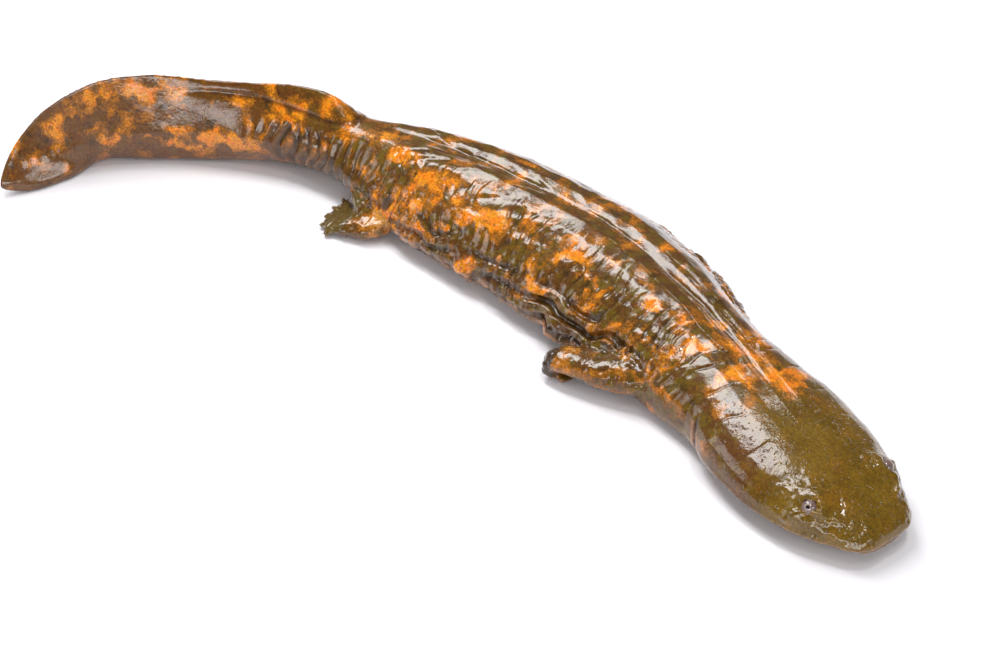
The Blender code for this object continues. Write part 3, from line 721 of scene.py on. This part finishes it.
def skin_material():
    """Wet skin: olive and brown, with grainy orange patches and paler rims and underside, painted
    shade in the creases and on the hands, painted highlights on the fold crests and the back's
    groove, and a painted sheen low on the tail.
    """
    material, shader = new_material("skin")
    n = Nodes(material.node_tree)
    place = n.add("ShaderNodeTexCoord").outputs["Object"]
    along = n.read("along")
    above = n.read("above")
    head = n.read("head")
    limb = n.read("limb")
    foot = n.read("foot")
    fold = n.read("fold")
    tail = n.step(along, 275.0, 350.0)
    lumps = n.grain(place, 9.0, 3.0)
    blotch = n.grain(place, 4.5, 4.0, 0.65, 0.3)
    speck = n.grain(place, 1.1, 3.0, 0.7, 0.7)
    dots = n.grain(place, 0.55, 2.0, 0.6, 1.1)

    dark = n.mix(n.step(blotch, 0.36, 0.58), DARK_OLIVE, DARK_BROWN)
    dark = n.mix(n.times(tail, 0.6), dark, TAIL_BROWN)
    spots = n.step(n.grain(place, 5.0, 3.0, 0.6, 5.0), 0.52, 0.68, 0.0, 0.75)
    dark = n.mix(spots, dark, DEEP_BROWN)
    top_of_head = n.mix(n.step(lumps, 0.40, 0.62), HEAD_OLIVE, HEAD_YELLOW)
    cheek = n.times(n.step(n.read("aside"), 8.0, 19.0), n.step(along, 30.0, 46.0))
    top_of_head = n.mix(n.times(cheek, n.step(blotch, 0.30, 0.52)), top_of_head, HEAD_BROWN)
    ground = n.mix(head, dark, top_of_head)
    # Hands: their own brown with painted shade; hind feet olive
    ground = n.mix(foot, ground, n.mix(n.step(along, 150.0, 210.0), HAND_BROWN_AND_PAINTED_SHADE, FOOT_OLIVE))

    warm = n.mix(n.step(blotch, 0.42, 0.60), ORANGE, YELLOW_ORANGE)
    warm = n.mix(n.times(limb, n.step(lumps, 0.35, 0.60, 0.25, 0.85)), warm, LIMB_YELLOW)
    uneven = n.plus(n.about_zero(blotch, 0.9), n.about_zero(speck, 1.1))
    uneven = n.plus(uneven, n.about_zero(dots, 0.5))
    field = n.plus(n.plus(n.read("orange"), uneven), n.times(limb, -0.06))
    field = n.minus(field, n.times(foot, 0.45))
    field = n.plus(field, n.times(tail, 0.13))
    field = n.plus(field, n.step(fold, 0.3, 1.4, 0.0, 0.42))
    off_head = n.step(head, 0.20, 0.85, 1.0, 0.06)
    colour = n.mix(n.times(n.step(field, -0.10, 0.44), off_head), ground, RUST)
    colour = n.mix(n.times(n.step(field, 0.36, 0.92), off_head), colour, warm)

    # Painted sheen: a grey reflection of the floor painted low on the tail's side
    grey = n.times(n.step(above, 16.0, 7.0), n.step(along, 280.0, 330.0))
    grey = n.times(grey, n.step(blotch, 0.62, 0.44, 0.0, 0.16))
    colour = n.mix(grey, colour, UNDERSIDE_GREY_AND_PAINTED_SHEEN)
    colour = n.mix(n.times(n.read("under"), 0.75), colour, UNDERSIDE_GREY_AND_PAINTED_SHEEN)
    # Pale rims, among them the line along the back's groove with its painted highlight
    colour = n.mix(n.times(n.read("rim"), 0.75), colour, PALE_RIM_AND_PAINTED_HIGHLIGHT)

    # Painted shade: the skin darkens where the fold sinks into a groove or crease
    colour = n.mix(n.step(fold, -0.10, -0.70, 0.0, 0.75), colour, CREASE_PAINTED_SHADE)
    # Painted highlight: the raised crests of the folds are made paler
    colour = n.mix(n.step(fold, 0.9, 2.2, 0.0, 0.35), colour, PALE_RIM_AND_PAINTED_HIGHLIGHT)
    grain = n.plus(n.step(speck, 0.30, 0.72, 0.72, 1.22), n.step(dots, 0.32, 0.70, -0.14, 0.16))
    shade = n.add("ShaderNodeCombineColor", {0: grain, 1: grain, 2: grain}).outputs[0]
    colour = n.mix(1.0, colour, shade, "MULTIPLY")
    n.put(colour, shader.inputs["Base Color"])

    height = n.plus(n.times(n.grain(place, 2.2, 2.0, 0.5, 2.0), 0.08),
                    n.times(n.grain(place, 0.8, 2.0, 0.6, 3.0), 0.07))
    papillae = n.times(n.step(n.grain(place, 1.5, 1.0, 0.5, 4.0), 0.63, 0.72), head)
    height = n.plus(height, n.times(papillae, 0.30))
    bump = n.add("ShaderNodeBump", {"Height": height, "Strength": 0.8, "Distance": 0.0010})
    n.put(bump.outputs["Normal"], shader.inputs["Normal"])
    shader.inputs["Roughness"].default_value = 0.35
    shader.inputs["Specular IOR Level"].default_value = 0.12
    shader.inputs["Subsurface Weight"].default_value = 0.06
    shader.inputs["Subsurface Radius"].default_value = (1.0, 0.45, 0.2)
    shader.inputs["Subsurface Scale"].default_value = 0.001
    shader.inputs["Coat Weight"].default_value = 1.0
    shader.inputs["Coat Roughness"].default_value = 0.04
    n.put(bump.outputs["Normal"], shader.inputs["Coat Normal"])
    return material


skin.data.materials.clear()
skin.data.materials.append(skin_material())
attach(skin, "root")
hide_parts(*FLESH)


# ---------------------------------------------------------------- eyes

PUPIL = 0.75           # radius of the pupil, mm
IRIS = (0.22, 0.140, 0.120, 1)
IRIS_DARK = (0.12, 0.075, 0.065, 1)
IRIS_PALE = (0.46, 0.33, 0.28, 1)
PUPIL_BLACK = (0.002, 0.002, 0.002, 1)


def eye_material():
    """A grey-pink, flecked iris with a small black pupil, under a wet surface."""
    material, shader = new_material("eye")
    n = Nodes(material.node_tree)
    place = n.add("ShaderNodeTexCoord").outputs["Object"]
    out = n.read("from_pupil")
    flecks = n.grain(place, 0.7, 3.0, 0.7)
    colour = n.mix(n.step(flecks, 0.36, 0.62), IRIS_DARK, IRIS)
    ring = n.times(n.step(out, PUPIL + 0.45, PUPIL + 0.12), n.step(flecks, 0.2, 0.6))
    colour = n.mix(ring, colour, IRIS_PALE)
    colour = n.mix(n.step(out, 1.9, 2.7, 0.0, 0.75), colour, IRIS_DARK)
    colour = n.mix(n.step(out, PUPIL - 0.06, PUPIL + 0.06), PUPIL_BLACK, colour)
    n.put(colour, shader.inputs["Base Color"])
    shader.inputs["Roughness"].default_value = 0.25
    shader.inputs["Coat Weight"].default_value = 1.0
    shader.inputs["Coat Roughness"].default_value = 0.03
    return material


def make_eye(side, material):
    """A round eye in the place of the solid one."""
    middle, gaze = eye_middle(side)
    bpy.ops.object.select_all(action="DESELECT")
    bpy.ops.mesh.primitive_uv_sphere_add(segments=96, ring_count=72, radius=EYE_RADIUS * MM,
                                         location=Vector(middle * MM))
    eye = bpy.context.object
    bpy.ops.object.transform_apply(location=True, rotation=True, scale=True)
    bpy.ops.object.shade_smooth()
    eye.name = side + "_eyeball"
    offset = coordinates(eye.data) / MM - middle
    angle = np.arccos(np.clip(offset @ gaze / np.linalg.norm(offset, axis=1), -1, 1))
    store(eye.data, "from_pupil", EYE_RADIUS * np.sin(np.minimum(angle, math.pi / 2)))
    eye.data.materials.append(material)
    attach(eye, "root")
    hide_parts("eye_" + side)


eye_look = eye_material()
make_eye("right", eye_look)
make_eye("left", eye_look)


# ---------------------------------------------------------------- floor, light and camera

FLOOR_SIZE = 8                              # m
FLOOR_WHITE = (0.88, 0.87, 0.90, 1)
SKY_WHITE = (0.94, 0.93, 1, 1)
SKY_STRENGTH = 0.14
LAMP_TARGET = (0.05, 0, 0.02)               # the place that the lamps face, m

# Lamps: name, direction from the animal, distance, width and length (m), light, seen in reflections
LAMPS = (
    ("overhead", (-0.48, 0.13, 0.86), 1.0, 0.30, 0.70, 10.5, True),
    ("spark", (0.15, 0.08, 0.98), 1.2, 0.14, 0.14, 40, True),
    ("crown", (-0.16, 0.72, 0.68), 1.2, 0.13, 0.13, 10, True),
    ("front", (0.37, -0.88, 0.25), 1.2, 1.25, 0.22, 6.5, True),
    ("snout", (0.30, -0.26, 0.92), 1.2, 0.16, 0.16, 14, True),
    ("flank", (-0.80, -0.46, 0.40), 1.2, 0.45, 0.45, 3, True),
    ("back", (-0.56, 0.43, 0.72), 1.2, 0.22, 0.22, 8, True),
    ("side", (0.9, -0.22, 0.40), 1.0, 0.30, 0.30, 6, True),
    ("ceiling", (0, 0, 1), 3.0, 6.0, 6.0, 0.30, False),
)
CAMERA_PLACE = (0.36542, -0.54341, 0.487)
CAMERA_FACING = (-0.4338, 0.6579, -0.6157)
LENS = 75                                   # mm
SENSOR = 36                                 # mm


def make_floor():
    bpy.ops.mesh.primitive_plane_add(size=FLOOR_SIZE)
    floor = bpy.context.object
    floor.name = "floor"
    material, shader = new_material("floor")
    shader.inputs["Base Color"].default_value = FLOOR_WHITE
    shader.inputs["Roughness"].default_value = 0.9
    floor.data.materials.append(material)


def softbox(name, toward, distance, width, length, radiance, mirrored):
    """A flat lamp seen from the animal in the given direction."""
    lamp = bpy.data.lights.new(name, "AREA")
    lamp.shape = "RECTANGLE"
    lamp.size = width
    lamp.size_y = length
    lamp.energy = radiance * math.pi * lamp.size * lamp.size_y
    lamp_object = link(bpy.data.objects.new(name, lamp))
    direction = Vector(toward).normalized()
    lamp_object.location = Vector(LAMP_TARGET) + direction * distance
    lamp_object.rotation_euler = direction.to_track_quat("Z", "Y").to_euler()
    lamp_object.visible_glossy = mirrored


def make_world():
    world = bpy.data.worlds.new("studio")
    world.use_nodes = True
    background = world.node_tree.nodes["Background"]
    background.inputs["Color"].default_value = SKY_WHITE
    background.inputs["Strength"].default_value = SKY_STRENGTH
    scene.world = world


def make_camera():
    camera = bpy.data.cameras.new("camera")
    camera.lens = LENS
    camera.sensor_width = SENSOR
    camera.clip_start = 0.01
    camera_object = link(bpy.data.objects.new("camera", camera))
    camera_object.location = CAMERA_PLACE
    camera_object.rotation_euler = Vector(CAMERA_FACING).to_track_quat("-Z", "Y").to_euler()
    scene.camera = camera_object


make_floor()
for lamp_row in LAMPS:
    softbox(*lamp_row)
make_world()
make_camera()
scene.view_settings.view_transform = "Standard"
